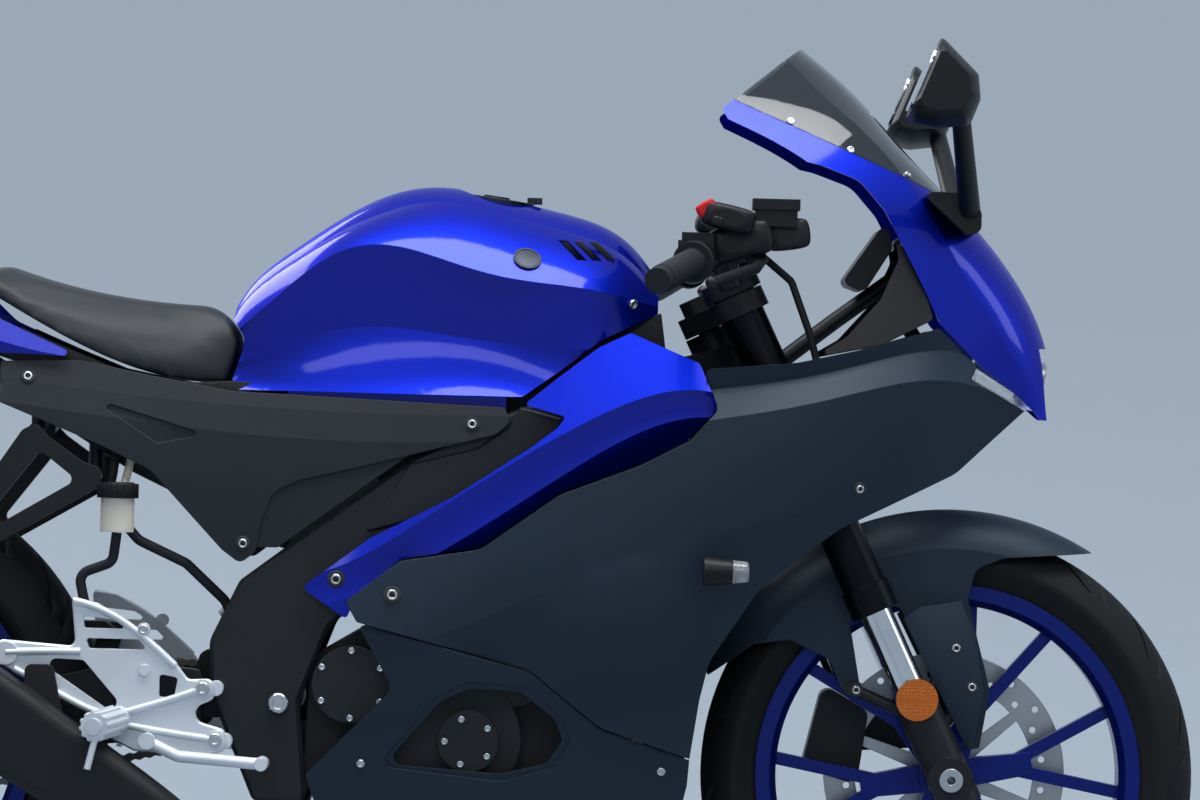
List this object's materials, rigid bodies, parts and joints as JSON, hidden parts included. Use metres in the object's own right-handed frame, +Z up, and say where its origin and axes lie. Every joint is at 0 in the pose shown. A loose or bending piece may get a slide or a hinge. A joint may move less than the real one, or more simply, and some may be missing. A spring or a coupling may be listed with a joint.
{
  "type": "sport motorcycle",
  "caption": "Faired single-cylinder sport motorcycle leaning on its side stand, with turning wheels, steering, folding stand and hinged fuel cap.",
  "frame": {"origin": "middle of the footprint on the road", "axes": "+X to the front of the bike, +Y to the rider's left, towards which the bike leans, +Z up"},
  "size_m": [2.0367, 0.7918, 1.2089],
  "materials": {
    "tyre": "moulded rubber, matte",
    "rim_blue": "satin blue lacquer on cast alloy",
    "disc_steel": "ground stainless steel",
    "steel": "plated steel",
    "fork_black": "black anodised tube",
    "fork_chrome": "hard-chromed tube",
    "cast_black": "black powder coat on castings",
    "grip_rubber": "moulded rubber",
    "control_black": "textured plastic",
    "fairing_navy": "matte dark blue-grey paint on plastic",
    "paint_blue": "metallic royal blue under clear lacquer",
    "cover_grey": "satin dark grey plastic",
    "frame_grey": "dark grey powder coat",
    "engine_grey": "dark grey painted castings",
    "radiator_alloy": "black-dipped aluminium core",
    "exhaust_steel": "heat-tinted steel",
    "exhaust_black": "heat-proof black paint",
    "seat_vinyl": "grained black vinyl",
    "amber": "amber reflex plastic",
    "lamp_clear": "clear lens",
    "lamp_red": "red lens",
    "screen_smoke": "smoked acrylic",
    "mirror_silver": "silvered glass",
    "silver_alloy": "bare cast aluminium",
    "white_plastic": "translucent white plastic",
    "chain_steel": "oiled steel"
  },
  "bodies": {
    "chassis": {"rear_axle": "steel", "main_frame": "frame_grey", "subframe": "frame_grey", "swingarm": "cast_black", "rear_shock": "cast_black", "engine": "engine_grey", "radiator": "radiator_alloy", "exhaust_header": "exhaust_steel", "silencer": "exhaust_black", "chain": "chain_steel", "tank": "paint_blue", "rider_seat": "seat_vinyl", "pillion_seat": "seat_vinyl", "side_fairings": "fairing_navy", "shoulder_panels": "paint_blue", "side_covers": "cover_grey", "tail_panels": "paint_blue", "rear_fender": "control_black", "tail_lamp": "lamp_red", "indicators": "lamp_clear", "lower_cowls": "fairing_navy", "nose_centre": "paint_blue", "nose_sides": "paint_blue", "windscreen": "screen_smoke", "headlamps": "lamp_clear", "cowl_stay": "frame_grey", "dash": "control_black", "inner_cowls": "control_black", "mirrors": "control_black", "mirror_glass": "mirror_silver", "rider_pegs": "silver_alloy", "foot_controls": "silver_alloy", "pillion_pegs": "cast_black", "brake_reservoir": "white_plastic", "hoses": "grip_rubber"},
    "steering": {"front_axle": "steel", "fork_outer_tubes": "fork_black", "fork_inner_tubes": "fork_chrome", "fork_feet": "cast_black", "triple_clamps": "cast_black", "clip_ons": "cast_black", "grips": "grip_rubber", "bar_controls": "control_black", "hand_levers": "cast_black", "front_fender": "fairing_navy", "reflectors": "amber", "brake_hose": "grip_rubber"},
    "front_wheel": {"front_tyre": "tyre", "front_rim": "rim_blue", "front_disc": "disc_steel"},
    "rear_wheel": {"rear_tyre": "tyre", "rear_rim": "rim_blue", "rear_sprocket": "steel", "rear_disc": "disc_steel"},
    "side_stand": {"side_stand": "cast_black"},
    "fuel_cap": {"fuel_cap": "silver_alloy"}
  },
  "joints": [
    {"name": "steering", "type": "hinge", "parent": "chassis", "child": "steering", "pos_m": [0.45576, -0.06206, 0.74561], "axis": [-0.4305, 0.1567, 0.8889], "range_deg": [-30, 30]},
    {"name": "front_wheel_spin", "type": "hinge", "parent": "steering", "child": "front_wheel", "pos_m": [0.72237, -0.14194, 0.29257], "axis": [0, 0.9848, -0.1736], "continuous": true},
    {"name": "rear_wheel_spin", "type": "hinge", "parent": "chassis", "child": "rear_wheel", "pos_m": [-0.60263, -0.13882, 0.31029], "axis": [0, 0.9848, -0.1736], "continuous": true},
    {"name": "side_stand_fold", "type": "hinge", "parent": "chassis", "child": "side_stand", "pos_m": [-0.06763, -0.04808, 0.20291], "axis": [0.1992, 0.7853, 0.5862], "range_deg": [0, 95.8]},
    {"name": "fuel_cap_lid", "type": "hinge", "parent": "chassis", "child": "fuel_cap", "pos_m": [0.2141, -0.02415, 0.96061], "axis": [0, 0.9848, -0.1736], "range_deg": [0, 95]}
  ]
}
